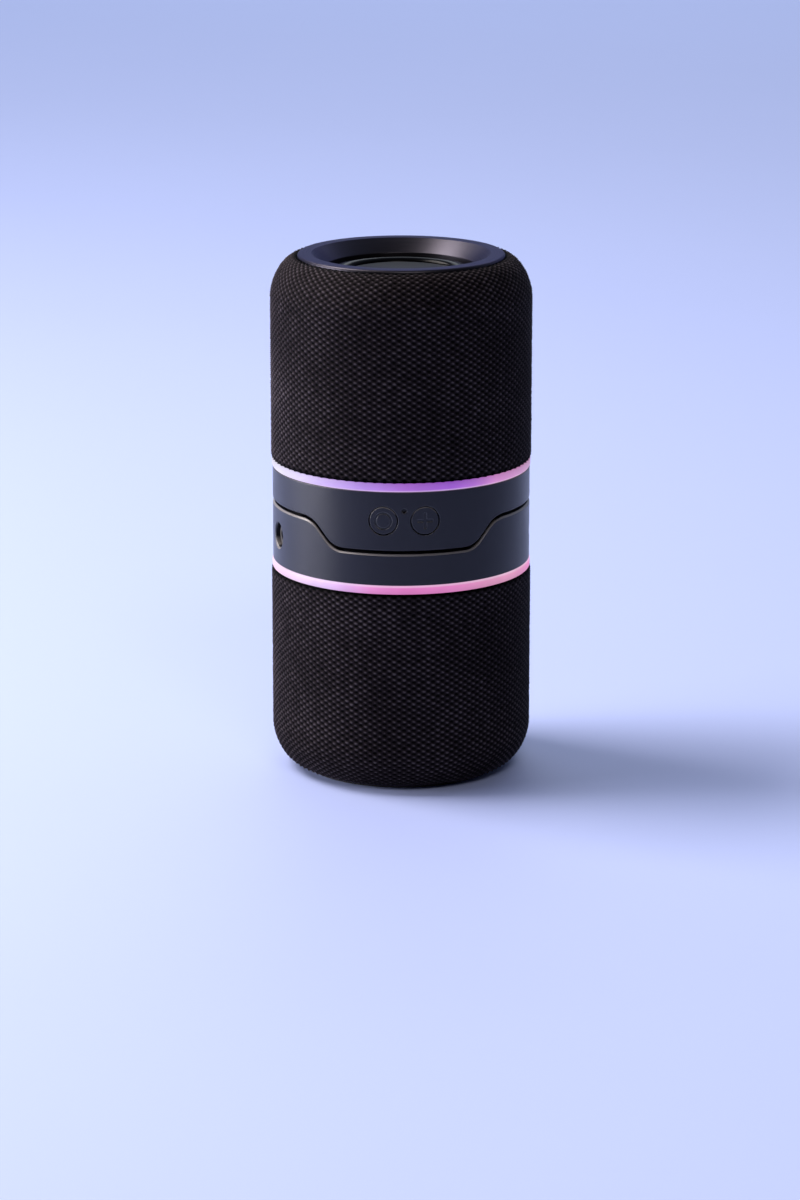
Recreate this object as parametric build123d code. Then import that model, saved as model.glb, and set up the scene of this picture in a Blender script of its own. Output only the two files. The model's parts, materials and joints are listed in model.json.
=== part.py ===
from build123d import *
import os
from math import cos, pi, radians, sin, sqrt, tan

# Portable two-piece speaker, in millimetres. Z is up and the front, with the buttons, faces -Y.
# The origin is on the axis, on the surface that the foot ring stands on. A lower and an upper
# unit dock on each other along a stepped seam in the middle. Most pieces are the same in both
# units: they are drawn once, standing on their end face, and turned over about Y for the upper one.

# ---- driving dimensions ----
height = 160.0
sleeve_radius = 40.0
foot_proud = 0.5

rim_radius = 31.5          # outer edge of the metal end ring
rim_mouth_radius = 27.2    # where its funnel starts
rim_throat_radius = 22.7   # where its funnel ends
rim_throat_depth = 4.0
rim_bottom = 6.6
rim_round = 0.9
rim_neck_step = 1.2        # how far the neck under the flange is set in
rim_flange = 1.9
foot_radii = (28.4, 30.2)
foot_depth = 1.0           # how deep the foot ring sits in the end ring
screw_ring_radius = 28.2
screw_count = 5
screw_start = 18.0         # degrees, which keeps the screws off the flat front
radiator_land = (6.6, 7.1) # the surround's flat edge, between the end ring and its clamp
roll_outer, roll_inner, roll_crest = 22.6, 18.0, 4.8
roll_rubber = 0.5
plate_face, plate_edge_radius = 5.7, 16.4
shoulder_length = 13.0     # axial length of the sleeve's rounded shoulder
shoulder_power = 1.77      # 2 would be an ellipse
sleeve_start = 0.45
sleeve_end = 62.65
sleeve_thickness = 0.9

light_ring_radius = 39.6
light_ring_height = 2.8
flange_radii = (35.7, 37.3)
flange_reach = 1.3
band_radius = 39.4
band_wall = 2.0
clearance = 0.1

seam_gap = 1.05            # open height between the two band shells
seam_side = 4.5            # height of the seam above the middle, round the sides and back
seam_tab = -3.65           # height of the seam under the front tab
tab_half_width = 24.3      # half the tab's width, halfway up its slopes
tab_slope = 52.0           # degrees from level
tab_corner = 6.0
tab_depth_y = -20.0        # the tab's back wall
tab_room = 0.4             # play between the tab's box and the pocket behind it
plate_thickness = 2.0      # of the docking plates

button_radius = 4.2
button_hole_radius = 4.5
button_offset = 6.3        # arc from the middle of a button pair to each button
button_round = 0.2
mark_depth = 0.35
mark_circle_radii = (2.1, 2.7)
mark_plus = (4.8, 0.9)     # length and width of each bar
button_height = {"lower": -5.3, "upper": 5.6}
status_hole_radius = 0.8
status_above_buttons = 3.1
front_azimuth, back_azimuth, right_azimuth = 0.0, 180.0, 90.0
button_azimuth = {"lower": back_azimuth, "upper": front_azimuth}
usb_azimuth = {"lower": right_azimuth, "upper": back_azimuth}
usb_width, usb_height, usb_length = 8.94, 3.26, 7.3
aux_azimuth = -73.0
aux_recess_radius = 3.8
aux_bore_radius = 1.8
aux_nose_radius = 3.1
aux_countersink = 0.5

chamber_low, chamber_high = 9.7, 60.8
chamber_wall = 2.2
chamber_chamfer = 2.8
driver_middle = 34.5       # from the unit's end face
baffle_y = -27.5
board_start = {"lower": 70.4, "upper": 67.1}
board_thickness = 1.6
board_radius = 33.0
battery_size = (50.0, 36.0, 5.6)
battery_start = 61.0
magnet_radius = 4.0
magnet_ring_radius = 24.0
magnet_azimuths = (70.0, 140.0, -140.0, -70.0)

# ---- derived dimensions ----
unit_length = (height - foot_proud) / 2
middle = foot_proud + unit_length
light_ring_start = sleeve_end
band_start = light_ring_start + light_ring_height
band_inner = band_radius - band_wall
grille_outer = sleeve_radius - sleeve_thickness - clearance
grille_inner = grille_outer - 1.6
chamber_radius = grille_inner - 0.5
plate_radius = band_inner - clearance
plate_proud = (seam_gap - clearance) / 2
seam_floor = {"upper": middle + seam_side, "lower": middle + seam_side - seam_gap}
far = 100.0                # beyond the object in every direction

os.makedirs("parts", exist_ok=True)


def save(piece, name):
    """Writes one node's STEP file, of one solid or of a group of separate solids."""
    if isinstance(piece, list):
        piece = Compound(children=piece)
    export_step(piece, f"parts/{name}.step")


def turned(section):
    """The solid that a section drawn as (radius, height) makes when it turns about Z."""
    return revolve(Plane.XZ * section, Axis.Z)


def outline(*points):
    """A straight-sided face through the points."""
    return make_face(Polyline(*points, close=True))


def upright(radius, length):
    """A cylinder that stands on its origin."""
    return Cylinder(radius, length, align=(Align.CENTER, Align.CENTER, Align.MIN))


def standing_box(wide, long, tall):
    """A box that stands on its origin."""
    return Box(wide, long, tall, align=(Align.CENTER, Align.CENTER, Align.MIN))


def ring(inner, outer, low, high):
    """A plain ring about Z."""
    return turned(outline((inner, low), (outer, low), (outer, high), (inner, high)))


def in_unit(piece, unit):
    """Moves a piece, or a group, drawn from its unit's end face into the lower or upper unit."""
    if isinstance(piece, list):
        return [in_unit(one, unit) for one in piece]
    if unit == "lower":
        return Pos(0, 0, foot_proud) * piece
    return Pos(0, 0, height) * Rot(0, 180, 0) * piece


def height_in(unit, distance):
    """The height above the floor of a place that far from the unit's end face."""
    return foot_proud + distance if unit == "lower" else height - distance


def facing(azimuth, radius, z):
    """A plane at a radius and height with its normal pointing away from the axis and its y up."""
    out = Vector(sin(radians(azimuth)), -cos(radians(azimuth)), 0)
    side = Vector(cos(radians(azimuth)), sin(radians(azimuth)), 0)
    return Plane(origin=out * radius + Vector(0, 0, z), x_dir=side, z_dir=out)


# ---- end ring, radiator and sleeve ----

def shoulder(radius, end_radius, end_height):
    """A quarter curve from the straight wall at that radius in to the end ring."""
    curve = []
    steps = 8
    for step in range(steps + 1):
        angle = pi / 2 * step / steps
        across = max(cos(angle), 0) ** (2 / shoulder_power)
        along = sin(angle) ** (2 / shoulder_power)
        curve.append((
            end_radius + (radius - end_radius) * across,
            shoulder_length - (shoulder_length - end_height) * along,
        ))
    return curve


def shell_section(outer, inner, bottom):
    """A wall that runs straight down from a shoulder. outer and inner are (radius, end radius, end)."""
    outside, inside = shoulder(*outer), shoulder(*inner)
    return make_face([
        Polyline((inside[0][0], bottom), (outside[0][0], bottom), outside[0]),
        Spline(*outside, tangents=[(0, -1), (-1, 0)]),
        Line(outside[-1], inside[-1]),
        Spline(*inside, tangents=[(0, -1), (-1, 0)]),
        Line(inside[0], (inside[0][0], bottom)),
    ])


def rim_ring(unit):
    """The metal end ring with its funnel. The lower one has a groove for the foot ring."""
    neck = rim_radius - rim_neck_step
    section = outline(
        (rim_throat_radius, rim_bottom),
        (rim_throat_radius, rim_throat_depth),
        (rim_mouth_radius, 0),
        (rim_radius, 0),
        (rim_radius, rim_flange),
        (neck, rim_flange),
        (neck, rim_bottom),
    )
    corners = section.vertices().sort_by(Axis.Y)
    mouth, edge = corners[0:2].sort_by(Axis.X)
    section = fillet(edge, rim_round)
    section = fillet(section.vertices().sort_by_distance(Vector(*mouth))[0], 0.5)
    piece = turned(section)
    if unit == "lower":
        piece -= ring(*foot_radii, -1, foot_depth)
    return piece - screw_shanks(4.4, rim_bottom + 1, 0.9)


def foot_ring():
    """The rubber ring that the speaker stands on, set in the lower end ring's groove."""
    section = outline(
        (foot_radii[0], -foot_proud),
        (foot_radii[1], -foot_proud),
        (foot_radii[1], foot_depth),
        (foot_radii[0], foot_depth),
    )
    return turned(section)


screw_places = PolarLocations(screw_ring_radius, screw_count, screw_start)


def screw_shanks(low, high, radius):
    """Cylinders where the end ring's screws run."""
    return screw_places * (Pos(0, 0, low) * upright(radius, high - low))


def rim_screws():
    """The pan-head screws from inside the enclosure, up into the end ring."""
    head_low, head_high, head_radius = 11.95, 13.4, 1.9
    screw = Pos(0, 0, 4.8) * upright(0.85, head_low - 4.8)
    screw += Pos(0, 0, head_low) * upright(head_radius, head_high - head_low)
    screw -= Pos(0, 0, head_high - 0.7) * upright(0.6, 1)
    return list(screw_places * screw)


def radiator_surround():
    """The rubber half-roll between the end ring and the radiator's plate."""
    top, bottom = radiator_land
    centre = (roll_outer + roll_inner) / 2
    section = make_face([
        Line((15.0, top), (roll_inner, top)),
        ThreePointArc((roll_inner, top), (centre, roll_crest), (roll_outer, top)),
        Polyline((roll_outer, top), (26.0, top), (26.0, bottom), (roll_outer - roll_rubber, bottom)),
        ThreePointArc(
            (roll_outer - roll_rubber, bottom),
            (centre, roll_crest + roll_rubber),
            (roll_inner + roll_rubber, bottom),
        ),
        Polyline((roll_inner + roll_rubber, bottom), (15.0, bottom), (15.0, top)),
    ])
    return turned(section)


def radiator_plate():
    """The passive radiator's plate, with the weight on its inner side."""
    rest = radiator_land[0]
    section = outline(
        (0, plate_face), (plate_edge_radius, plate_face), (plate_edge_radius, rest), (14.8, rest),
        (14.8, 8.6), (10.0, 8.6), (10.0, 11.0), (0, 11.0),
    )
    edge = section.vertices().sort_by_distance((plate_edge_radius, plate_face, 0))[0]
    return turned(fillet(edge, 0.35))


def radiator_frame():
    """The plastic ring that clamps the surround against the end ring."""
    low, high = radiator_land[1], 9.6
    piece = ring(22.9, 30.0, low, high)
    return piece - screw_shanks(low - 1, high + 1, 1.1)


def fabric_sleeve():
    """The knitted sleeve, as a plain skin over the grille shell."""
    section = shell_section(
        (sleeve_radius, rim_radius + 0.2, sleeve_start),
        (sleeve_radius - sleeve_thickness, rim_radius + 0.2, sleeve_start + sleeve_thickness),
        sleeve_end,
    )
    edge = section.vertices().sort_by_distance((sleeve_radius, sleeve_end, 0))[0]
    return turned(fillet(edge, 0.55))


def grille_shell():
    """The stiff slotted shell under the sleeve."""
    collar = rim_radius - 0.9
    piece = turned(shell_section(
        (grille_outer, collar, 2.0),
        (grille_inner, collar, 4.0),
        sleeve_end - 0.15,
    ))
    slot_length, slot_width, slot_pitch = 11.0, 3.2, 14.5
    slot = Plane.YZ * SlotOverall(slot_length, slot_width, rotation=90)
    cutters = []
    for row in range(3):
        low = 22.0 + slot_pitch * row
        for column in range(28):
            turn = 360 / 28 * (column + 0.5 * (row % 2))
            cutters.append(Rot(0, 0, turn) * Pos(30, 0, low) * extrude(slot, 12))
    return piece - cutters


# ---- sound chamber and driver ----

def behind(y):
    """Everything behind a plane across Y."""
    return Pos(0, y, 0) * Box(2 * far, far, 2 * far, align=(Align.CENTER, Align.MIN, Align.CENTER))


def enclosure():
    """The sealed sound chamber: a can with a flat front for the driver and an open end."""
    outside = turned(outline(
        (0, chamber_low), (chamber_radius - chamber_chamfer, chamber_low),
        (chamber_radius, chamber_low + chamber_chamfer), (chamber_radius, chamber_high),
        (0, chamber_high),
    ))
    room_radius = chamber_radius - chamber_wall
    room_low, room_high = chamber_low + chamber_wall, chamber_high - chamber_wall
    inside = turned(outline(
        (0, room_low), (room_radius - chamber_chamfer, room_low),
        (room_radius, room_low + chamber_chamfer), (room_radius, room_high), (0, room_high),
    ))
    outside &= behind(baffle_y)
    inside &= behind(baffle_y + chamber_wall)
    piece = outside - inside
    piece -= ring(0, 26.5, chamber_low - 1, chamber_low + chamber_wall + 0.5)
    piece -= screw_shanks(chamber_low - 1, chamber_low + chamber_wall + 1, 1.1)
    piece -= driver_axis * Cylinder(20.3, 4 * chamber_wall)
    wire_hole = Pos(0, 24, chamber_high) * Cylinder(2.0, 4 * chamber_wall)
    return piece - wire_hole


driver_axis = Plane(origin=(0, baffle_y, driver_middle), x_dir=(1, 0, 0), z_dir=(0, -1, 0))


def on_driver(section):
    """Turns a section drawn as (radius, distance in front of the baffle) about the driver's axis."""
    return driver_axis * turned(section)


def driver_basket():
    """The driver's frame, with four windows and the front pole plate."""
    piece = turned(outline(
        (23.0, 0), (23.0, 1.2), (18.6, 1.2), (18.6, -1.0), (13.6, -11.0), (13.6, -12.0),
        (7.2, -12.0), (7.2, -14.0), (14.4, -14.0), (14.4, -11.2), (20.0, -1.2), (20.0, 0),
    ))
    window = Pos(16, 0, -6.2) * Box(14, 11, 6.0)
    return driver_axis * (piece - PolarLocations(0, 4) * window)


def driver_magnet():
    """The ring magnet behind the pole plate."""
    return on_driver(outline((8.5, -14.0), (15.5, -14.0), (15.5, -21.5), (8.5, -21.5)))


def driver_yoke():
    """The back plate with the pole piece."""
    return on_driver(outline(
        (0, -12.2), (6.0, -12.2), (6.0, -21.5), (14.5, -21.5), (14.5, -23.5), (0, -23.5),
    ))


def voice_coil():
    """The coil's former, which runs in the magnet's gap."""
    return on_driver(outline((6.45, -19.0), (6.85, -19.0), (6.85, -5.5), (6.45, -5.5)))


def driver_cone():
    """The driver's cone."""
    return on_driver(outline(
        (6.9, -5.6), (15.5, 0.7), (16.2, 0.7), (16.2, 1.2), (15.2, 1.2), (6.9, -4.9),
    ))


def dust_cap():
    """The domed cap over the voice coil."""
    crest, foot, wall, edge = -2.6, -4.45, 0.5, 7.4
    rise = crest - foot
    dome_radius = (edge ** 2 + rise ** 2) / (2 * rise)
    dome = Sphere(dome_radius) - Sphere(dome_radius - wall)
    dome = Pos(0, 0, crest - dome_radius) * dome
    return driver_axis * (dome & Pos(0, 0, foot) * standing_box(2 * edge, 2 * edge, 2 * rise))


def driver_surround():
    """The rubber half-roll between the cone and the basket."""
    low, high = 1.2, 1.6
    inner, outer = 16.2, 19.0
    centre = (inner + outer) / 2
    section = make_face([
        Line((15.2, high), (inner, high)),
        ThreePointArc((inner, high), (centre, 3.0), (outer, high)),
        Polyline((outer, high), (21.5, high), (21.5, low), (outer - 0.4, low)),
        ThreePointArc((outer - 0.4, low), (centre, 2.6), (inner + 0.4, low)),
        Polyline((inner + 0.4, low), (15.2, low), (15.2, high)),
    ])
    return on_driver(section)


# ---- light ring and its lamps ----

def light_ring():
    """The clear ring between the sleeve and the band, with a flange that carries the light."""
    low, high = light_ring_start + clearance, band_start - clearance
    inner, outer = flange_radii
    section = outline(
        (inner, low - flange_reach), (outer, low - flange_reach), (outer, low),
        (light_ring_radius, low), (light_ring_radius, high), (outer, high),
        (outer, high + flange_reach), (inner, high + flange_reach),
    )
    lip = section.vertices().group_by(Axis.X)[-1]
    return turned(fillet(lip, 0.5))


def led_strip():
    """The flexible lamp strip inside the light ring, with its lamps standing on it."""
    strip_inner, strip_outer = 34.6, 35.0
    low, high = light_ring_start - 1.0, band_start + 1.0
    lamp = Pos(strip_outer + 0.2, 0, (low + high) / 2) * Box(0.6, 3.0, 2.4)
    return ring(strip_inner, strip_outer, low, high) + PolarLocations(0, 24) * lamp


# ---- the docking seam ----

def seam_profile(drop):
    """Everything above the seam, seen from the front, with the whole seam lowered by that much."""
    side, tab = middle + seam_side - drop, middle + seam_tab - drop
    half_run = (seam_side - seam_tab) / tan(radians(tab_slope)) / 2
    wide, narrow = tab_half_width + half_run, tab_half_width - half_run
    face = outline(
        (-far, side), (-wide, side), (-narrow, tab), (narrow, tab),
        (wide, side), (far, side), (far, height), (-far, height),
    )
    corners = [v for v in face.vertices() if abs(v.X) < far - 1]
    return fillet(corners, tab_corner)


def above_seam(drop, back_wall):
    """The space above the seam: all of it past the side height, and the tab in front of back_wall."""
    front = Plane.XZ.offset(-back_wall) * seam_profile(drop)
    whole = Pos(0, 0, middle + seam_side - drop) * standing_box(2 * far, 2 * far, far)
    return extrude(front, far) + whole


def drilled(radius, azimuth, z, inner=30.0):
    """A radial cutter through the band."""
    return facing(azimuth, inner, z) * upright(radius, 2 * (sleeve_radius - inner))


def button_places(unit):
    """The azimuths of a unit's two buttons, the circle and the plus."""
    turn = button_offset / band_radius * 180 / pi
    centre = button_azimuth[unit]
    return centre - turn, centre + turn


def usb_middle(unit):
    """The height of the middle of a unit's charging socket, which lies on its board."""
    return height_in(unit, board_start[unit] + board_thickness + usb_height / 2)


aux_middle = height_in("lower", board_start["lower"] + board_thickness + 2.5)


def band_shell(unit):
    """The unit's half of the middle band, cut along the seam and chamfered there."""
    low, high = sorted((height_in(unit, band_start), height_in(unit, unit_length + 8)))
    shell = ring(band_inner, band_radius, low, high)
    if unit == "lower":
        shell -= above_seam(seam_gap, tab_depth_y)
        chamfer_size = 0.5
    else:
        shell &= above_seam(0, tab_depth_y)
        chamfer_size = 0.3
    edges = [
        edge for edge in shell.edges()
        if abs(edge.center().Z - height_in(unit, band_start)) > 1
        and all(abs(sqrt(v.X ** 2 + v.Y ** 2) - band_radius) < 0.01 for v in edge.vertices())
        and sqrt((edge @ 0.5).X ** 2 + (edge @ 0.5).Y ** 2) > band_radius - 0.01
        and abs((edge % 0.5).Z) < 0.95
    ]
    shell = chamfer(edges, chamfer_size)
    level = middle + button_height[unit]
    for azimuth in button_places(unit):
        shell -= drilled(button_hole_radius, azimuth, level)
    shell -= drilled(status_hole_radius, button_azimuth[unit], level + status_above_buttons)
    slot = facing(usb_azimuth[unit], 30, usb_middle(unit)) * SlotOverall(
        usb_width + 0.5, usb_height + 0.5
    )
    shell -= extrude(slot, 20)
    if unit == "lower":
        shell -= drilled(aux_recess_radius, aux_azimuth, aux_middle)
        shell -= facing(aux_azimuth, band_radius - aux_countersink, aux_middle) * Cone(
            aux_recess_radius, aux_recess_radius + 1.5, 1.5,
            align=(Align.CENTER, Align.CENTER, Align.MIN),
        )
    return shell


def magnet_cylinders(radius, low, high):
    """Cylinders where the docking magnets stand."""
    places = [facing(azimuth, magnet_ring_radius, low) for azimuth in magnet_azimuths]
    return [Pos(*place.origin) * upright(radius, high - low) for place in places]


def docking_plate(unit):
    """The plate that closes a unit at the seam. It follows the tab, as a box or as a pocket."""
    disc = upright(plate_radius, height)
    floor = seam_floor[unit]
    if unit == "upper":
        low, high = floor - plate_proud, floor + plate_thickness
        solid = disc & above_seam(0, tab_depth_y)
        solid += ring(0, plate_radius - 1, low, floor + 1) & behind(tab_depth_y)
        hollow = above_seam(-plate_thickness, tab_depth_y - plate_thickness)
    else:
        low, high = floor - plate_thickness, floor + plate_proud
        pocket_wall = tab_depth_y + tab_room
        solid = disc - above_seam(seam_gap, pocket_wall)
        solid += ring(0, plate_radius - 1, floor - 1, high) & behind(pocket_wall)
        hollow = disc - above_seam(seam_gap + plate_thickness, pocket_wall + plate_thickness)
    return solid - hollow - magnet_cylinders(magnet_radius + clearance, low - 1, high + 1)


def docking_magnets(unit):
    """Four disc magnets, flush with the docking plate."""
    if unit == "upper":
        low = seam_floor[unit] - plate_proud
        high = low + 3.0
    else:
        high = seam_floor[unit] + plate_proud
        low = high - 3.0
    return magnet_cylinders(magnet_radius, low, high)


# ---- controls and sockets ----

def button_cap(azimuth, level, mark):
    """A round cap, flush with the band, with an engraved mark, a flange and a stem."""
    place = facing(azimuth, band_radius, level)
    flange_top, flange_bottom, stem_end = -2.45, -3.3, -5.0
    cap = Pos(0, 0, flange_top) * upright(button_radius, 3.0)
    flange = Pos(0, 0, flange_bottom) * upright(5.0, flange_top - flange_bottom)
    stem = Pos(0, 0, stem_end) * upright(1.2, flange_bottom - stem_end)
    band = ring(0, band_radius, level - 10, level + 10)
    piece = (place * (cap + flange + stem)) & band
    outer_face = max(piece.faces(), key=lambda face: (face.center() - place.origin).dot(place.z_dir))
    piece = chamfer(outer_face.edges(), button_round)
    if mark == "circle":
        groove = Circle(mark_circle_radii[1]) - Circle(mark_circle_radii[0])
    else:
        groove = Rectangle(*mark_plus) + Rectangle(*reversed(mark_plus))
    skin = ring(band_radius - mark_depth, band_radius + 1, level - 6, level + 6)
    return piece - (extrude(place.offset(-2) * groove, 4) & skin)


def button_board(unit):
    """The small upright board behind a unit's buttons."""
    back = 30.25
    z = middle + button_height[unit]
    return facing(button_azimuth[unit], back + 0.5, z) * Box(26, 9, 1.0)


def tact_switches(unit):
    """The two switches on the button board."""
    board_face = 31.25
    z = middle + button_height[unit]
    switches = []
    for side in (-1, 1):
        place = facing(button_azimuth[unit], board_face, z) * Pos(side * 5.45, 0, 0)
        switches.append(place * (standing_box(4, 4, 1.5) + upright(0.9, 2.0)))
    return switches


def status_light(unit):
    """The light pipe behind the small hole between the buttons."""
    z = middle + button_height[unit] + status_above_buttons
    return facing(button_azimuth[unit], 31.25, z) * upright(status_hole_radius - 0.05, 6.95)


def usb_socket(unit):
    """The charging socket: a rounded metal mouth with a tongue."""
    wall = 0.3
    place = facing(usb_azimuth[unit], band_radius - 0.8 - usb_length, usb_middle(unit))
    mouth = SlotOverall(usb_width, usb_height)
    hole = SlotOverall(usb_width - 2 * wall, usb_height - 2 * wall)
    shell = extrude(mouth, usb_length) - Pos(0, 0, 1) * extrude(hole, usb_length)
    tongue = standing_box(6.7, 0.7, usb_length - 1.5)
    return place * (shell + tongue)


def aux_jack():
    """The headphone socket: a block with a round nose and a bore."""
    nose_end = band_radius - 1.5
    nose_length, body_length = 2.5, 10.0
    place = facing(aux_azimuth, nose_end - nose_length - body_length, aux_middle)
    body = standing_box(6.4, 5.0, body_length)
    nose = Pos(0, 0, body_length) * upright(aux_nose_radius, nose_length)
    bore = Pos(0, 0, 1) * upright(aux_bore_radius, far)
    return place * (body + nose - bore)


def main_board(unit):
    """The main circuit board with its larger chips."""
    low = board_start[unit]
    board = ring(0, board_radius, low, low + board_thickness)
    for x, y, wide, long in ((8, 4, 9, 9), (-9, 8, 7, 5), (-6, -9, 5, 8), (12, -10, 4, 4)):
        board += Pos(x, y, low + board_thickness + 0.5) * Box(wide, long, 1.0)
    if unit == "lower":
        board -= Pos(0, 29.3 + far / 2, 0) * Box(30, far, 2 * far)
    return board


def battery():
    """The flat battery between the sound chamber and the board."""
    long, wide, thick = battery_size
    block = standing_box(long, wide, thick)
    block = fillet(block.edges().filter_by(Axis.Z), 2.0)
    return Pos(0, 0, battery_start) * fillet(block.edges().group_by(Axis.Z)[-1], 1.0)


# ---- all nodes ----

alike = {
    "radiator_surround": radiator_surround(),
    "radiator_plate": radiator_plate(),
    "radiator_frame": radiator_frame(),
    "rim_screws": rim_screws(),
    "fabric_sleeve": fabric_sleeve(),
    "grille_shell": grille_shell(),
    "enclosure": enclosure(),
    "driver_basket": driver_basket(),
    "driver_magnet": driver_magnet(),
    "driver_yoke": driver_yoke(),
    "voice_coil": voice_coil(),
    "driver_cone": driver_cone(),
    "dust_cap": dust_cap(),
    "driver_surround": driver_surround(),
    "light_ring": light_ring(),
    "led_strip": led_strip(),
    "battery": battery(),
}

for unit in ("lower", "upper"):
    for name, piece in alike.items():
        save(in_unit(piece, unit), f"{name}_{unit}")
    save(in_unit(rim_ring(unit), unit), f"rim_ring_{unit}")
    save(in_unit(main_board(unit), unit), f"main_board_{unit}")
    save(band_shell(unit), f"band_shell_{unit}")
    save(docking_plate(unit), f"docking_plate_{unit}")
    save(docking_magnets(unit), f"docking_magnets_{unit}")
    level = middle + button_height[unit]
    for mark, azimuth in zip(("circle", "plus"), button_places(unit)):
        save(button_cap(azimuth, level, mark), f"{mark}_button_{unit}")
    save(button_board(unit), f"button_board_{unit}")
    save(tact_switches(unit), f"tact_switches_{unit}")
    save(status_light(unit), f"status_light_{unit}")
    save(usb_socket(unit), f"usb_socket_{unit}")

save(in_unit(foot_ring(), "lower"), "foot_ring")
save(aux_jack(), "aux_jack")
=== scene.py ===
"""Portable two-piece speaker: its knitted sleeves, glowing rings and finishes."""

import json
from math import cos, pi, radians, sin, sqrt, tan

import bpy
import numpy as np
from mathutils import Matrix, Vector


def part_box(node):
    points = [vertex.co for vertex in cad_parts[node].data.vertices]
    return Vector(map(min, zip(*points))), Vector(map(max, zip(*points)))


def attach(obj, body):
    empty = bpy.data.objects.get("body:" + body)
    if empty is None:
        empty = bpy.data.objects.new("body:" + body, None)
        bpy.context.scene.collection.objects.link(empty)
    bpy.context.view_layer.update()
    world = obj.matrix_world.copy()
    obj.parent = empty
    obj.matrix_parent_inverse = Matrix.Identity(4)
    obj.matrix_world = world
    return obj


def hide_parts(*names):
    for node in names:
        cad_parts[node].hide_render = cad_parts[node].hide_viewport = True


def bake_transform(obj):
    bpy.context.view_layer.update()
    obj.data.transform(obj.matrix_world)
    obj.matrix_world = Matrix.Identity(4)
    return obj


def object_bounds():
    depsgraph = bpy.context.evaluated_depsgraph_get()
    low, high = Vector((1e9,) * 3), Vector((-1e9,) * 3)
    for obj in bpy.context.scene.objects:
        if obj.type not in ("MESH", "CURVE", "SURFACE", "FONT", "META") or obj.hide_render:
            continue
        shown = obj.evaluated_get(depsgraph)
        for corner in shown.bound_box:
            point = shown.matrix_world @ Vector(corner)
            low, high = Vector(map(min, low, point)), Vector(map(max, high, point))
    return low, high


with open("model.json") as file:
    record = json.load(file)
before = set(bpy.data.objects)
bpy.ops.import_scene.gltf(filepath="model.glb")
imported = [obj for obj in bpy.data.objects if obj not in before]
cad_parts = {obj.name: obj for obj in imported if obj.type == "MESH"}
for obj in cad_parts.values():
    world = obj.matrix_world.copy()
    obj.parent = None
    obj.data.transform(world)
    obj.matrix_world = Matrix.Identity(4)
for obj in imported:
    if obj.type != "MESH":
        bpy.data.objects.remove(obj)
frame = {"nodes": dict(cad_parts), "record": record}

MM = 0.001
cad_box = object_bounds()
record = frame["record"]
UNITS = ("lower", "upper")


def heights(node):
    """The lowest and highest point of a CAD node, in metres."""
    low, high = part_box(node)
    return low[2], high[2]


HEIGHT = cad_box[1][2]
FOOT = heights("rim_ring_lower")[0]


def up_from_end(unit, distance):
    """The height of a place that far (in metres) from the unit's own end face."""
    return FOOT + distance if unit == "lower" else HEIGHT - distance


# ---- mesh helpers ----

def add_piece(name, points, faces, body, material, sharp=radians(32)):
    """A smooth-shaded mesh object that rides on a body."""
    mesh = bpy.data.meshes.new(name)
    mesh.from_pydata([tuple(p) for p in points], [], [tuple(f) for f in faces])
    mesh.validate()
    mesh.polygons.foreach_set("use_smooth", np.ones(len(mesh.polygons), bool))
    mesh.set_sharp_from_angle(angle=sharp)
    piece = bpy.data.objects.new(name, mesh)
    bpy.context.scene.collection.objects.link(piece)
    piece.data.materials.append(material)
    if body:
        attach(piece, body)
    return piece


def rounded(outline, arc_steps=6):
    """A closed outline of (x, y, corner radius) with each corner's arc worked out."""
    count, out = len(outline), []
    for k, (x, y, radius) in enumerate(outline):
        here = Vector((x, y))
        if radius <= 0:
            out.append(here)
            continue
        before = Vector(outline[k - 1][:2]) - here
        after = Vector(outline[(k + 1) % count][:2]) - here
        half = before.angle(after) / 2
        reach = radius / tan(half)
        start, end = here + before.normalized() * reach, here + after.normalized() * reach
        inward = (before.normalized() + after.normalized()).normalized()
        centre = here + inward * (radius / sin(half))
        a, b = start - centre, end - centre
        turn = a.angle_signed(b)
        for step in range(arc_steps + 1):
            out.append(centre + Matrix.Rotation(-turn * step / arc_steps, 2) @ a)
    return out


def lathe(outline, segments):
    """Points and faces of a closed outline of (radius, height) turned about Z."""
    count = len(outline)
    angles = [2 * pi * k / segments for k in range(segments)]
    points = [(r * cos(a), r * sin(a), z) for a in angles for r, z in outline]
    faces = []
    for k in range(segments):
        here, there = k * count, (k + 1) % segments * count
        for j in range(count):
            n = (j + 1) % count
            faces.append((here + j, there + j, there + n, here + n))
    return points, faces


def outward(points, faces):
    """The faces turned so that their normals point out of the closed shape."""
    p = np.array(points, float)
    volume = 0.0
    for face in faces:
        a = p[face[0]]
        for j in range(1, len(face) - 1):
            volume += np.dot(a, np.cross(p[face[j]], p[face[j + 1]]))
    return faces if volume > 0 else [tuple(reversed(f)) for f in faces]


def turned_piece(name, unit, outline, body, material, segments=240, sharp=radians(32)):
    """A lathe piece. Its outline is in mm: (radius, distance from the end face, corner radius)."""
    section = [(p.x * MM, up_from_end(unit, p.y * MM)) for p in rounded(outline)]
    points, faces = lathe(section, segments)
    return add_piece(name, points, outward(points, faces), body, material, sharp)


# ---- material helpers ----

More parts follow.
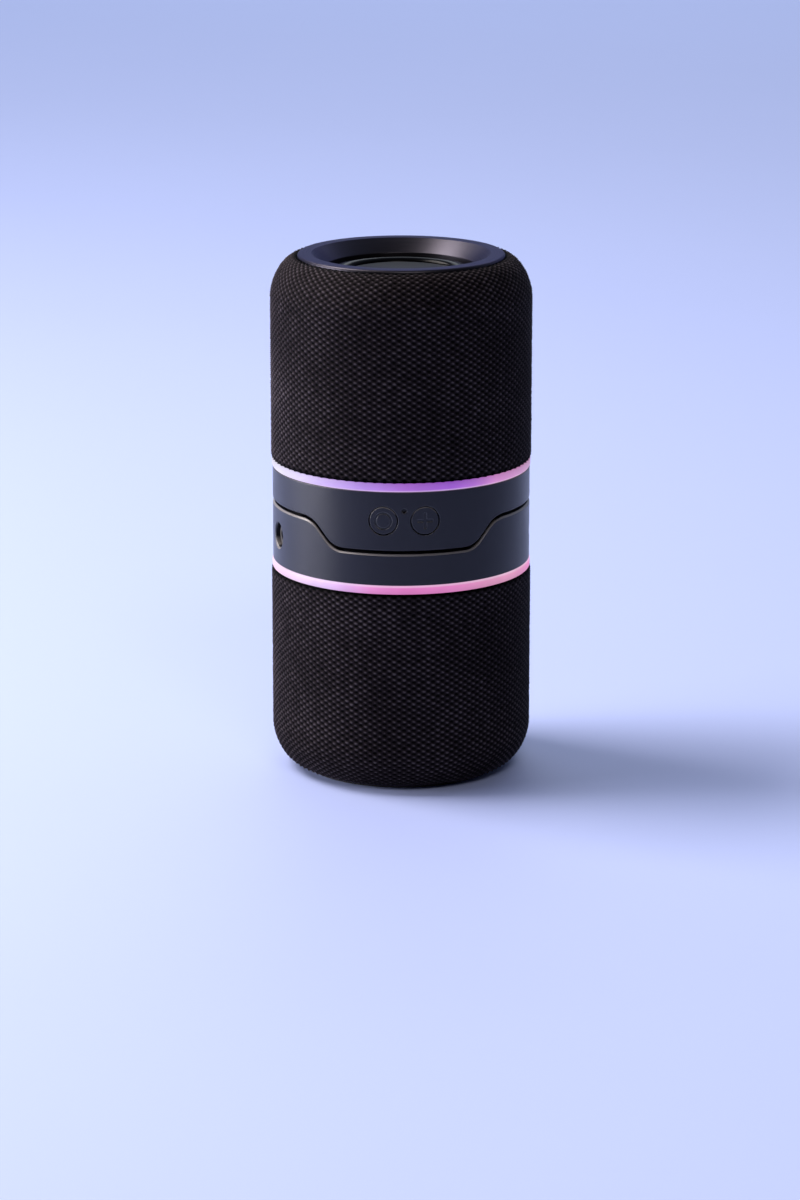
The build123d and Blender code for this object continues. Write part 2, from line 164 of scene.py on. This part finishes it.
class Shader:
    """A material's node tree with short names for the nodes it needs."""

    def __init__(self, name):
        self.material = bpy.data.materials.new(name)
        self.material.use_nodes = True
        self.nodes = self.material.node_tree.nodes
        self.links = self.material.node_tree.links
        self.surface = self.nodes["Principled BSDF"]
        self.place = self.nodes.new("ShaderNodeTexCoord").outputs["Object"]

    def put(self, socket, value):
        """Sets a socket, or links it if the value is another node's output."""
        if isinstance(value, bpy.types.NodeSocket):
            self.links.new(value, socket)
        elif value is not None:
            socket.default_value = value

    def set(self, **values):
        """Sets the Principled shader's own sockets, by name with underscores."""
        for name, value in values.items():
            socket = self.surface.inputs[name.replace("_", " ")]
            if isinstance(value, tuple) and len(value) == 3 and socket.type == "RGBA":
                value = (*value, 1.0)
            self.put(socket, value)
        return self

    def math(self, kind, a, b=None):
        """The result of one Math node."""
        node = self.nodes.new("ShaderNodeMath")
        node.operation = kind
        for socket, value in zip(node.inputs, (a, b)):
            self.put(socket, value)
        return node.outputs[0]

    def noise(self, scale, detail=3.0, roughness=0.5, vector=None):
        """Noise, 0 to 1, over the object's own coordinates or over a vector."""
        node = self.nodes.new("ShaderNodeTexNoise")
        self.put(node.inputs["Vector"], vector or self.place)
        node.inputs["Scale"].default_value = scale
        node.inputs["Detail"].default_value = detail
        node.inputs["Roughness"].default_value = roughness
        return node.outputs["Fac"]

    def spread(self, value, low, high, from_low=0.0, from_high=1.0):
        """Maps a value from one range to another."""
        node = self.nodes.new("ShaderNodeMapRange")
        for socket, number in zip(node.inputs, (value, from_low, from_high, low, high)):
            self.put(socket, number)
        return node.outputs[0]

    def ramp(self, value, stops):
        """A colour ramp of (place, colour) stops."""
        node = self.nodes.new("ShaderNodeValToRGB")
        elements = node.color_ramp.elements
        while len(elements) < len(stops):
            elements.new(0.5)
        for element, (place, colour) in zip(elements, stops):
            element.position = place
            element.color = (*colour, 1.0)
        self.put(node.inputs[0], value)
        return node.outputs[0]

    def split(self, vector):
        """The three parts of a vector."""
        node = self.nodes.new("ShaderNodeSeparateXYZ")
        self.put(node.inputs[0], vector)
        return node.outputs

    def join(self, x, y, z):
        """A vector from its three parts."""
        node = self.nodes.new("ShaderNodeCombineXYZ")
        for socket, value in zip(node.inputs, (x, y, z)):
            self.put(socket, value)
        return node.outputs[0]

    def bump(self, height, strength, distance):
        """Adds a bump to the surface, on top of any that is there already."""
        node = self.nodes.new("ShaderNodeBump")
        node.inputs["Strength"].default_value = strength
        node.inputs["Distance"].default_value = distance
        self.put(node.inputs["Height"], height)
        before = self.surface.inputs["Normal"].links
        if before:
            self.links.new(before[0].from_socket, node.inputs["Normal"])
        self.links.new(node.outputs[0], self.surface.inputs["Normal"])
        return self

    def soften(self, radius):
        """Rounds the look of sharp edges, to that radius in metres.

        Returns 1 on an edge and 0 away from it."""
        node = self.nodes.new("ShaderNodeBevel")
        node.samples = 8
        node.inputs["Radius"].default_value = radius
        self.links.new(node.outputs[0], self.surface.inputs["Normal"])
        compare = self.nodes.new("ShaderNodeVectorMath")
        compare.operation = "DOT_PRODUCT"
        self.links.new(node.outputs[0], compare.inputs[0])
        self.links.new(self.nodes.new("ShaderNodeNewGeometry").outputs["Normal"], compare.inputs[1])
        return self.spread(compare.outputs["Value"], 0.0, 1.0, 0.998, 0.86)

    def blend(self, amount, first, second):
        """A colour between two others."""
        node = self.nodes.new("ShaderNodeMix")
        node.data_type = "RGBA"
        sockets = (node.inputs[0], node.inputs[6], node.inputs[7])
        for socket, value in zip(sockets, (amount, first, second)):
            self.put(socket, (*value, 1.0) if isinstance(value, tuple) else value)
        return node.outputs[2]

    def polar(self):
        """(distance from the Z axis, angle round it, height) of each point."""
        x, y, z = self.split(self.place)
        square = self.math("ADD", self.math("MULTIPLY", x, x), self.math("MULTIPLY", y, y))
        angle = self.math("ARCTAN2", x, self.math("MULTIPLY", y, -1.0))
        return self.math("SQRT", square), angle, z


def tinted(shader, colour, amount, scale):
    """A colour that varies a little over the surface."""
    low = tuple(c * (1 - amount) for c in colour)
    high = tuple(c * (1 + amount) for c in colour)
    return shader.ramp(shader.noise(scale, 4.0), [(0.3, low), (0.7, high)])


def moulded(
    name, colour, roughness, grain=9000.0, grain_depth=0.00002, edge=0.0, lip=None, **extra,
):
    """Moulded plastic or rubber with a fine spark-eroded grain, faint marks and lighter edges.

    edge is the radius of its edges, which are lighter partly by wear and partly by a painted
    highlight, and lip is the colour of a painted highlight on chamfers that face up."""
    s = Shader(name)
    marks = s.noise(60.0, 5.0, 0.6)
    shade = tinted(s, colour, 0.10, 25.0)
    if edge:
        # Edges lighter, in patches: partly wear, partly a painted highlight.
        wear_and_highlight = s.math("MULTIPLY", s.soften(edge), s.spread(s.noise(900.0), 0.55, 0.95, 0.3, 0.7))
        shade = s.blend(wear_and_highlight, shade, tuple(c * 2 + 0.075 for c in colour))
    if lip:
        # Chamfers that face up take the lip colour: a painted highlight, as if lit from above.
        up = s.split(s.nodes.new("ShaderNodeNewGeometry").outputs["True Normal"])[2]
        sloping = s.spread(up, 0.0, 1.0, 0.28, 0.45)
        not_flat = s.spread(up, 1.0, 0.0, 0.85, 0.95)
        shade = s.blend(s.math("MULTIPLY", sloping, not_flat), shade, lip)
    s.set(
        Base_Color=shade,
        Roughness=s.spread(marks, roughness - 0.05, roughness + 0.06, 0.3, 0.7),
        **extra,
    )
    return s.bump(s.noise(grain, 2.0), 0.25, grain_depth).material


TURNING_FINENESS = 9000.0      # tool marks to a metre


def turned_metal(name, colour, roughness, **extra):
    """Lathe-turned, anodised metal: fine rings round the axis, in colour, roughness and height."""
    s = Shader(name)
    radius, angle, z = s.polar()
    along = s.join(
        s.math("MULTIPLY", radius, TURNING_FINENESS),
        s.math("MULTIPLY", angle, 1.5),
        s.math("MULTIPLY", z, TURNING_FINENESS),
    )
    rings = s.noise(1.0, 3.0, 0.6, along)
    s.set(
        Base_Color=s.ramp(rings, [
            (0.3, tuple(c * 0.86 for c in colour)),
            (0.7, tuple(c * 1.12 for c in colour)),
        ]),
        Metallic=1.0,
        Roughness=s.spread(rings, roughness - 0.05, roughness + 0.07, 0.3, 0.7),
        **extra,
    )
    return s.bump(rings, 0.25, 0.00002).material


def rough_metal(name, colour, roughness, scale=400.0):
    """Pressed, drawn or sintered metal with a fine uneven surface."""
    s = Shader(name)
    grain = s.noise(scale, 5.0, 0.6)
    s.set(
        Base_Color=tinted(s, colour, 0.12, 80.0),
        Metallic=1.0,
        Roughness=s.spread(grain, roughness - 0.08, roughness + 0.08, 0.3, 0.7),
    )
    return s.bump(grain, 0.2, 0.00003).material


def circuit_board():
    """Green solder mask with copper tracks showing through."""
    s = Shader("circuit_board")
    node = s.nodes.new("ShaderNodeTexBrick")
    s.put(node.inputs["Vector"], s.place)
    node.inputs["Scale"].default_value = 260.0
    node.inputs["Mortar Size"].default_value = 0.08
    node.inputs["Color1"].default_value = (0.008, 0.075, 0.035, 1)
    node.inputs["Color2"].default_value = (0.010, 0.090, 0.045, 1)
    node.inputs["Mortar"].default_value = (0.03, 0.17, 0.07, 1)
    s.set(Base_Color=node.outputs["Color"], Roughness=s.spread(s.noise(300.0), 0.3, 0.45))
    return s.bump(node.outputs["Fac"], 0.3, 0.00005).material


def glow(name, stops, strength, band_side):
    """A frosted ring lit from inside, whose colour runs round the axis.

    band_side is the two heights that it brightens and whitens between, towards the band: a painted
    highlight on its rounded edge."""
    s = Shader(name)
    _, angle, z = s.polar()
    round_axis = s.spread(angle, 0.0, 1.0, -pi, pi)
    colour = s.ramp(round_axis, stops)
    cloud = s.spread(s.noise(140.0, 2.0), 0.94, 1.06, 0.3, 0.7)
    # Stronger and whiter glow towards the band: a painted highlight on the ring's rounded edge.
    edge = s.spread(z, 0.86, 1.10, *band_side)
    lip = s.spread(z, -2.6, 0.5, *band_side)
    colour = s.blend(s.math("MAXIMUM", lip, 0.0), colour, (0.80, 0.66, 0.80))
    s.set(
        Base_Color=(0.10, 0.085, 0.11),
        Roughness=s.spread(s.noise(500.0), 0.42, 0.52),
        Specular_IOR_Level=0.3,
        Emission_Color=colour,
        Emission_Strength=s.math("MULTIPLY", s.math("MULTIPLY", cloud, edge), strength),
    )
    return s.bump(s.noise(6000.0, 2.0), 0.1, 0.00002).material


def knit_yarn():
    """Matt polyester yarn: knots pale by a painted highlight, darker yarn between them and gaps
    black by painted shade.
    """
    s = Shader("knit_yarn")
    relief = s.nodes.new("ShaderNodeAttribute")
    relief.attribute_name = "relief"
    height = relief.outputs["Fac"]
    fibre = s.noise(9000.0, 3.0, 0.65)
    patch = s.noise(35.0, 3.0)
    wear_and_highlight = s.spread(s.math("ADD", fibre, patch), 0.75, 1.25, 0.7, 1.3)
    lift = s.math("MULTIPLY", height, wear_and_highlight)
    s.set(
        # Black in the gaps (painted shade), the yarn's own dark plum between, pale on the knots
        # (painted highlight).
        Base_Color=s.ramp(lift, [
            (0.14, (0.0001, 0.0001, 0.0001)),
            (0.32, (0.0098, 0.0074, 0.0086)),
            (0.55, (0.0150, 0.0115, 0.0132)),
            (0.95, (0.0800, 0.0665, 0.0745)),
        ]),
        Roughness=s.spread(fibre, 0.45, 0.70, 0.3, 0.7),
        Specular_IOR_Level=0.02,
    )
    return s.bump(fibre, 0.5, 0.00012).material


def srgb(r, g, b):
    """A screen colour, 0 to 255, as the linear colour that shaders use."""
    return tuple(((c / 255 + 0.055) / 1.055) ** 2.4 for c in (r, g, b))


# ---- finishes, one for each material slot of the record ----

UPPER_GLOW = [
    (0.00, srgb(205, 190, 235)), (0.12, srgb(225, 222, 240)), (0.25, srgb(208, 206, 210)),
    (0.30, srgb(224, 222, 238)), (0.35, srgb(222, 212, 255)), (0.40, srgb(204, 174, 248)),
    (0.45, srgb(182, 134, 236)), (0.50, srgb(172, 98, 216)), (0.56, srgb(158, 82, 212)),
    (0.59, srgb(182, 108, 216)), (0.625, srgb(220, 142, 212)), (0.70, srgb(204, 150, 192)),
    (0.76, srgb(198, 154, 188)), (0.88, srgb(196, 160, 214)), (1.00, srgb(205, 190, 235)),
]
LOWER_GLOW = [
    (0.00, srgb(240, 176, 214)), (0.12, srgb(250, 200, 234)), (0.25, srgb(255, 196, 226)),
    (0.30, srgb(255, 208, 236)), (0.35, srgb(246, 210, 246)), (0.40, srgb(232, 194, 250)),
    (0.43, srgb(228, 168, 234)), (0.46, srgb(234, 134, 206)), (0.50, srgb(226, 116, 190)),
    (0.56, srgb(230, 128, 194)), (0.61, srgb(226, 148, 188)), (0.66, srgb(230, 156, 190)),
    (0.72, srgb(236, 130, 190)), (0.76, srgb(238, 140, 194)), (0.88, srgb(238, 164, 204)),
    (1.00, srgb(240, 176, 214)),
]
GLOW_EDGE = 1.6 * MM           # from the light ring's flange to where its glow starts to change
ring_low, ring_high = {}, {}
for unit in UNITS:
    ring_low[unit], ring_high[unit] = heights(f"light_ring_{unit}")
towards_band = {
    "upper": (ring_high["upper"] - GLOW_EDGE, ring_low["upper"] + GLOW_EDGE),
    "lower": (ring_low["lower"] + GLOW_EDGE, ring_high["lower"] - GLOW_EDGE),
}

FINISHES = {
    "anodised_rim": turned_metal(
        "anodised_rim", (0.042, 0.039, 0.047), 0.36, Specular_Tint=(0.55, 0.55, 0.72),
    ),
    "glossy_rubber": moulded(
        "glossy_rubber", (0.0010, 0.0010, 0.0011), 0.16, Specular_IOR_Level=0.06,
    ),
    # Lighter edges: partly wear, partly a painted highlight.
    "radiator_satin": moulded(
        "radiator_satin", (0.0045, 0.0045, 0.006), 0.38, 5000.0, edge=0.2 * MM,
        Specular_IOR_Level=0.12,
    ),
    "inner_plastic": moulded("inner_plastic", (0.02, 0.02, 0.02), 0.6),
    "screw_steel": rough_metal("screw_steel", (0.45, 0.45, 0.46), 0.35),
    "knit_fabric": knit_yarn(),
    "pressed_steel": rough_metal("pressed_steel", (0.07, 0.07, 0.07), 0.45),
    "magnet_ferrite": moulded("magnet_ferrite", (0.05, 0.05, 0.052), 0.65, 3000.0),
    "copper_coil": rough_metal("copper_coil", (0.72, 0.33, 0.16), 0.3, 3000.0),
    "cone_paper": moulded("cone_paper", (0.025, 0.025, 0.026), 0.8, 2500.0, 0.00006),
    "circuit_board": circuit_board(),
    "battery_wrap": rough_metal("battery_wrap", (0.35, 0.36, 0.38), 0.4, 200.0),
    # Lighter edges, partly wear and partly a painted highlight, and a painted highlight in the lip
    # colour on chamfers that face up.
    "band_satin": moulded(
        "band_satin", (0.0030, 0.0030, 0.0075), 0.34, 7000.0, edge=0.32 * MM,
        lip=(0.17, 0.155, 0.15), Specular_IOR_Level=0.42,
    ),
    "docking_plastic": moulded("docking_plastic", (0.012, 0.012, 0.014), 0.5),
    "magnet_nickel": rough_metal("magnet_nickel", (0.30, 0.30, 0.29), 0.32, 900.0),
    "switch_black": moulded("switch_black", (0.075, 0.070, 0.066), 0.38),
    "status_lens": moulded("status_lens", (0.002, 0.002, 0.003), 0.45),
    "socket_steel": rough_metal("socket_steel", (0.45, 0.45, 0.46), 0.3, 1500.0),
    "foot_rubber": moulded("foot_rubber", (0.015, 0.015, 0.015), 0.7, 5000.0),
    "light_diffuser_upper": glow("light_diffuser_upper", UPPER_GLOW, 0.80, towards_band["upper"]),
    "light_diffuser_lower": glow("light_diffuser_lower", LOWER_GLOW, 0.84, towards_band["lower"]),
}
slot_of = {row["node"]: row["material_slot"] for row in record["subparts"]}
for name, node in frame["nodes"].items():
    node.data.materials.clear()
    node.data.materials.append(FINISHES[slot_of[name]])


# ---- end rings, surrounds and light rings, turned finely ----
# Radii, and distances from the unit's own end face, in mm.

THROAT_RADIUS, THROAT_DEPTH = 22.7, 4.0
FUNNEL_RADIUS = 27.2           # the funnel's wide end, on the end face
LIP_RADIUS, LIP_DEPTH = 31.5, 1.9
NECK_RADIUS = 30.3             # behind the lip, where the sleeve tucks in
RIM_DEPTH = 6.6                # the rim's back face, which the radiator is clamped to
GROOVE_RADII, GROOVE_DEPTH = (28.4, 30.2), 1.0      # the seat of the foot ring

FLANGE_INSIDE, FLANGE_RADIUS = 35.7, 37.3           # the light ring's hidden flanges
FLANGE_TOP, FLANGE_BOTTOM = 61.45, 66.65
GLOW_RADIUS = 39.6
GLOW_TOP, GLOW_BOTTOM = 62.75, 65.35
BREAK = 0.1                    # radius of edges that are only broken
TURNED_SEGMENTS = 288

for unit in UNITS:
    body = f"{unit}_unit"
    groove = []
    if unit == "lower":
        inside, outside = GROOVE_RADII
        groove = [
            (inside, 0, BREAK), (inside, GROOVE_DEPTH, 0),
            (outside, GROOVE_DEPTH, 0), (outside, 0, BREAK),
        ]
    funnel = [
        (THROAT_RADIUS, RIM_DEPTH, 0), (THROAT_RADIUS, THROAT_DEPTH, 0.35), (FUNNEL_RADIUS, 0, 0.5),
    ]
    lip = [
        (LIP_RADIUS, 0, 0.9), (LIP_RADIUS, LIP_DEPTH, BREAK),
        (NECK_RADIUS, LIP_DEPTH, 0), (NECK_RADIUS, RIM_DEPTH, BREAK),
    ]
    rim = turned_piece(
        f"turned_rim_{unit}", unit, funnel + groove + lip, body,
        FINISHES["anodised_rim"], segments=TURNED_SEGMENTS,
    )
    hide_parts(f"rim_ring_{unit}")
    ring = turned_piece(
        f"glow_ring_{unit}", unit,
        [
            (FLANGE_INSIDE, FLANGE_TOP, BREAK), (FLANGE_RADIUS, FLANGE_TOP, BREAK),
            (FLANGE_RADIUS, GLOW_TOP, 0), (GLOW_RADIUS, GLOW_TOP, 0.35),
            (GLOW_RADIUS, GLOW_BOTTOM, 0.75), (FLANGE_RADIUS, GLOW_BOTTOM, 0),
            (FLANGE_RADIUS, FLANGE_BOTTOM, BREAK), (FLANGE_INSIDE, FLANGE_BOTTOM, BREAK),
        ],
        body, FINISHES[f"light_diffuser_{unit}"],
        segments=TURNED_SEGMENTS,
    )
    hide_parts(f"light_ring_{unit}")

ROLL_TOP, ROLL_BOTTOM = 6.6, 7.1      # the flat parts of the surround
ROLL_CREST = 4.8
ROLL_RUBBER = 0.5
ROLL_OUTER, ROLL_INNER = 22.6, 18.0   # the half-roll's own edges
ROLL_GLUED, ROLL_CLAMPED = 15.05, 26.0      # the ends of the flats, on the plate and the frame
ROLL_STEPS = 14


def half_roll(unit):
    """The rubber surround: a half-roll whose inner edge is glued to the plate and outer edge
    clamped to the frame.
    """
    middle, half = (ROLL_OUTER + ROLL_INNER) / 2, (ROLL_OUTER - ROLL_INNER) / 2
    rise = ROLL_TOP - ROLL_CREST
    under_half, under_rise = half - ROLL_RUBBER, ROLL_BOTTOM - ROLL_CREST - ROLL_RUBBER
    arc = [pi * k / ROLL_STEPS for k in range(ROLL_STEPS + 1)]
    outline = [(ROLL_GLUED, ROLL_TOP)]
    outline += [(middle - half * cos(a), ROLL_TOP - rise * sin(a)) for a in arc]
    outline += [(ROLL_CLAMPED, ROLL_TOP), (ROLL_CLAMPED, ROLL_BOTTOM)]
    outline += [(middle + under_half * cos(a), ROLL_BOTTOM - under_rise * sin(a)) for a in arc]
    outline += [(ROLL_GLUED, ROLL_BOTTOM)]
    section = [(r * MM, up_from_end(unit, s * MM)) for r, s in outline]
    points, faces = lathe(section, 192)
    piece = add_piece(
        f"half_roll_{unit}", points, outward(points, faces), None,
        FINISHES["glossy_rubber"],
    )
    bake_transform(piece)
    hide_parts(f"radiator_surround_{unit}")


for unit in UNITS:
    half_roll(unit)


# ---- knitted sleeves ----

COLUMNS = 168                  # stitches round the speaker
SAMPLES = 4                    # mesh points to a stitch, each way
STITCH_LENGTH = 1.87 * MM
RELIEF = 0.72 * MM             # from the top of a knot to the bottom of a gap
SWAY, SLACK, SWELL = 0.05, 0.03, 0.10      # how uneven columns, rows and knots are, in stitches
TUCK = 0.75                    # stitches at each edge that turn in
TUCK_DEPTH = 0.35 * MM
CLOTH = 0.85 * MM              # thickness
LINING_ROWS = 7                # mesh points down the smooth inside

sleeve_low, sleeve_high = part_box("fabric_sleeve_upper")
SLEEVE_RADIUS = (sleeve_high[0] - sleeve_low[0]) / 2
SHOULDER = 13.0 * MM           # from the end face to where the side is straight
SHOULDER_POWER = 1.77          # 2 is an ellipse, and less is a flatter corner
RIM_EDGE = 31.7 * MM
SLEEVE_START, SLEEVE_END = 0.45 * MM, 62.65 * MM
LINE_STEPS = 400               # points to each part of the line before it is spaced evenly


def sleeve_line(count, inset):
    """Evenly spaced (radius, distance from the end face) points down the sleeve, and its length."""
    radius, start = SLEEVE_RADIUS - inset, SLEEVE_START + inset
    fine = []
    for k in range(LINE_STEPS):
        angle = pi / 2 * (1 - k / (LINE_STEPS - 1))
        across = max(cos(angle), 0.0) ** (2 / SHOULDER_POWER)
        along = sin(angle) ** (2 / SHOULDER_POWER)
        out = RIM_EDGE + (radius - RIM_EDGE) * across
        fine.append((out, SHOULDER - (SHOULDER - start) * along))
    straight = SLEEVE_END - SHOULDER
    fine += [(radius, SHOULDER + straight * k / LINE_STEPS) for k in range(1, LINE_STEPS + 1)]
    fine = np.array(fine)
    steps = np.r_[0, np.cumsum(np.linalg.norm(np.diff(fine, axis=0), axis=1))]
    wanted = np.linspace(0, steps[-1], count)
    line = np.stack([np.interp(wanted, steps, fine[:, k]) for k in (0, 1)], axis=1)
    return line, steps[-1]


def stitch_relief(column, row):
    """Height, 0 to 1, of the mesh of stitches at a column and a row, both counted in stitches."""
    across = np.cos(pi * column)
    across = np.sign(across) * np.abs(across) ** 1.5
    knot = 0.5 + 0.5 * across * np.cos(2 * pi * row)
    hole = np.clip((0.66 - knot) / 0.5, 0, 1)
    yarn = 1 - hole
    return 0.55 * yarn + 0.45 * knot ** 4


def uneven(rows, around, seed):
    """How much tighter or looser the yarn is at each mesh point, about 0, from stitch to stitch."""
    stitches = np.random.default_rng(seed).normal(0, 1, (rows // SAMPLES + 2, around // SAMPLES))
    down, across = np.arange(rows) / SAMPLES, np.arange(around) / SAMPLES
    k, m = down.astype(int), across.astype(int)
    s, t = (down - k)[:, None], (across - m)[None, :]
    last = stitches.shape[1]
    top = stitches[k][:, m] * (1 - t) + stitches[k][:, (m + 1) % last] * t
    low = stitches[k + 1][:, m] * (1 - t) + stitches[k + 1][:, (m + 1) % last] * t
    return top * (1 - s) + low * s


def round_axis(radius, height, angle):
    """Points at a radius and a height, at an angle from the front."""
    points = np.stack([radius * np.sin(angle), -radius * np.cos(angle), height], axis=-1)
    return points.reshape(-1, 3)


def skin_faces(rows, around):
    """Quads down the outside, up the lining and back to the first row, which close the skin."""
    order = list(range(rows)) + [rows + k for k in reversed(range(LINING_ROWS))]
    first = np.array(order + [0]) * around
    here = np.arange(around)
    after = (here + 1) % around
    return np.concatenate([
        np.stack([a + here, b + here, b + after, a + after], axis=1)
        for a, b in zip(first[:-1], first[1:])
    ])


def knitted_sleeve(unit):
    """The sleeve as one closed skin whose outside has every stitch of the open knit."""
    _, length = sleeve_line(LINE_STEPS, 0.0)
    rows = round(length / STITCH_LENGTH) * SAMPLES + 1
    around = COLUMNS * SAMPLES
    line, length = sleeve_line(rows, 0.0)
    tangent = np.gradient(line, axis=0)
    normal = np.stack([tangent[:, 1], -tangent[:, 0]], axis=1)
    normal /= np.linalg.norm(normal, axis=1)[:, None]
    j, i = np.meshgrid(np.arange(rows), np.arange(around), indexing="ij")
    tight = uneven(rows, around, UNITS.index(unit))
    sway = uneven(rows, around, 10 + UNITS.index(unit))
    knit = stitch_relief(i / SAMPLES + SWAY * sway, j / SAMPLES + SLACK * tight)
    relief = np.clip(knit * (1 + SWELL * tight), 0, 1)
    tuck = np.clip(np.minimum(j, rows - 1 - j) / (SAMPLES * TUCK), 0, 1)
    sink = RELIEF * (1 - relief) + TUCK_DEPTH * (1 - tuck) ** 2
    outside = round_axis(
        line[j, 0] - normal[j, 0] * sink, line[j, 1] - normal[j, 1] * sink, 2 * pi * i / around,
    )
    inner_line, _ = sleeve_line(LINING_ROWS, CLOTH)
    j, i = np.meshgrid(np.arange(LINING_ROWS), np.arange(around), indexing="ij")
    lining = round_axis(inner_line[j, 0], inner_line[j, 1], 2 * pi * i / around)
    points = np.concatenate([outside, lining])
    points[:, 2] = FOOT + points[:, 2] if unit == "lower" else HEIGHT - points[:, 2]
    faces = skin_faces(rows, around)
    if unit == "lower":
        faces = faces[:, ::-1]
    piece = add_piece(
        f"knit_sleeve_{unit}", points, faces.tolist(), f"{unit}_unit",
        FINISHES["knit_fabric"], sharp=pi,
    )
    # The relief sets the yarn's painted shade and highlight; it falls to nothing where the edges
    # tuck in, a painted shade in the tuck.
    shade = np.concatenate([relief.ravel() * tuck.ravel(), np.zeros(len(lining))])
    attribute = piece.data.attributes.new("relief", "FLOAT", "POINT")
    attribute.data.foreach_set("value", shade.astype(np.float32))
    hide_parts(f"fabric_sleeve_{unit}")


for unit in UNITS:
    knitted_sleeve(unit)


# ---- floor, light and camera ----

def area_light(name, place, aim, size, power, colour):
    """A soft rectangular light that points at a place."""
    data = bpy.data.lights.new(name, "AREA")
    data.shape = "RECTANGLE"
    data.size, data.size_y = size
    data.energy = power
    data.color = colour
    light = bpy.data.objects.new(name, data)
    light.location = place
    light.rotation_euler = (Vector(aim) - Vector(place)).to_track_quat("-Z", "Y").to_euler()
    bpy.context.scene.collection.objects.link(light)


def floor():
    """A plain pale floor, large enough to fill the view."""
    half = 8.0
    corners = [(-half, -half, 0), (half, -half, 0), (half, half, 0), (-half, half, 0)]
    mesh = bpy.data.meshes.new("floor")
    mesh.from_pydata(corners, [], [(0, 1, 2, 3)])
    piece = bpy.data.objects.new("floor", mesh)
    bpy.context.scene.collection.objects.link(piece)
    s = Shader("pale_floor")
    s.set(
        Base_Color=tinted(s, (0.46, 0.535, 0.86), 0.012, 1.5),
        Roughness=s.spread(s.noise(8.0), 0.55, 0.62),
    )
    mesh.materials.append(s.bump(s.noise(1500.0), 0.05, 0.0001).material)


def studio_world():
    """Room light: a bright pale wall behind the speaker, and a dim room in front of it."""
    world = bpy.data.worlds.new("studio")
    bpy.context.scene.world = world
    world.use_nodes = True
    nodes, links = world.node_tree.nodes, world.node_tree.links
    way = nodes.new("ShaderNodeSeparateXYZ")
    links.new(nodes.new("ShaderNodeTexCoord").outputs["Generated"], way.inputs[0])
    wall = nodes.new("ShaderNodeMapRange")
    wall.interpolation_type = "SMOOTHSTEP"
    links.new(way.outputs["Y"], wall.inputs[0])
    wall.inputs[1].default_value, wall.inputs[2].default_value = -0.5, 0.9
    ramp = nodes.new("ShaderNodeValToRGB")
    ramp.color_ramp.elements[0].color = (0.045, 0.040, 0.045, 1.0)
    ramp.color_ramp.elements[1].color = (0.60, 0.70, 1.0, 1.0)
    links.new(wall.outputs[0], ramp.inputs[0])
    background = nodes["Background"]
    links.new(ramp.outputs[0], background.inputs["Color"])
    background.inputs["Strength"].default_value = 0.6


floor()
studio_world()
centre = Vector((0, 0, HEIGHT / 2))
area_light("key", (-0.95, 0.25, 1.30), centre, (0.8, 0.8), 30.0, (1.0, 0.93, 0.90))
area_light("left_panel", (-1.1, -0.05, 0.25), centre, (0.8, 0.5), 14.0, (0.95, 0.93, 1.0))
area_light("right_panel", (1.2, 0.9, 0.45), centre, (0.5, 1.0), 0.4, (0.80, 0.86, 1.0))
area_light("front_fill", (0.25, -1.5, 1.5), centre, (0.7, 0.5), 8.0, (1.0, 0.96, 0.94))
area_light("far_wash", (0.0, 3.2, 2.2), (0, 3.4, 0), (4.0, 2.0), 62.0, (0.88, 0.94, 1.0))

bpy.context.scene.view_settings.view_transform = "Standard"

# The camera stands 1.23 m in front of the speaker and 0.375 m up, and looks down at 14.7 degrees.
CAMERA_DISTANCE, CAMERA_HEIGHT = 1.2313, 0.3752
CAMERA_PITCH, CAMERA_AZIMUTH = radians(14.74), radians(-1.3)
SIDE_STEP = -0.00036
SENSOR_WIDTH, LENS = 36.0, 123.5      # mm
camera_data = bpy.data.cameras.new("camera")
camera_data.sensor_width = SENSOR_WIDTH
camera_data.lens = LENS
camera = bpy.data.objects.new("camera", camera_data)
camera.rotation_euler = (pi / 2 - CAMERA_PITCH, 0, CAMERA_AZIMUTH)
right = Vector((cos(CAMERA_AZIMUTH), sin(CAMERA_AZIMUTH), 0))
back = Vector((sin(CAMERA_AZIMUTH), -cos(CAMERA_AZIMUTH), 0))
camera.location = back * CAMERA_DISTANCE + right * SIDE_STEP + Vector((0, 0, CAMERA_HEIGHT))
bpy.context.scene.collection.objects.link(camera)
bpy.context.scene.camera = camera
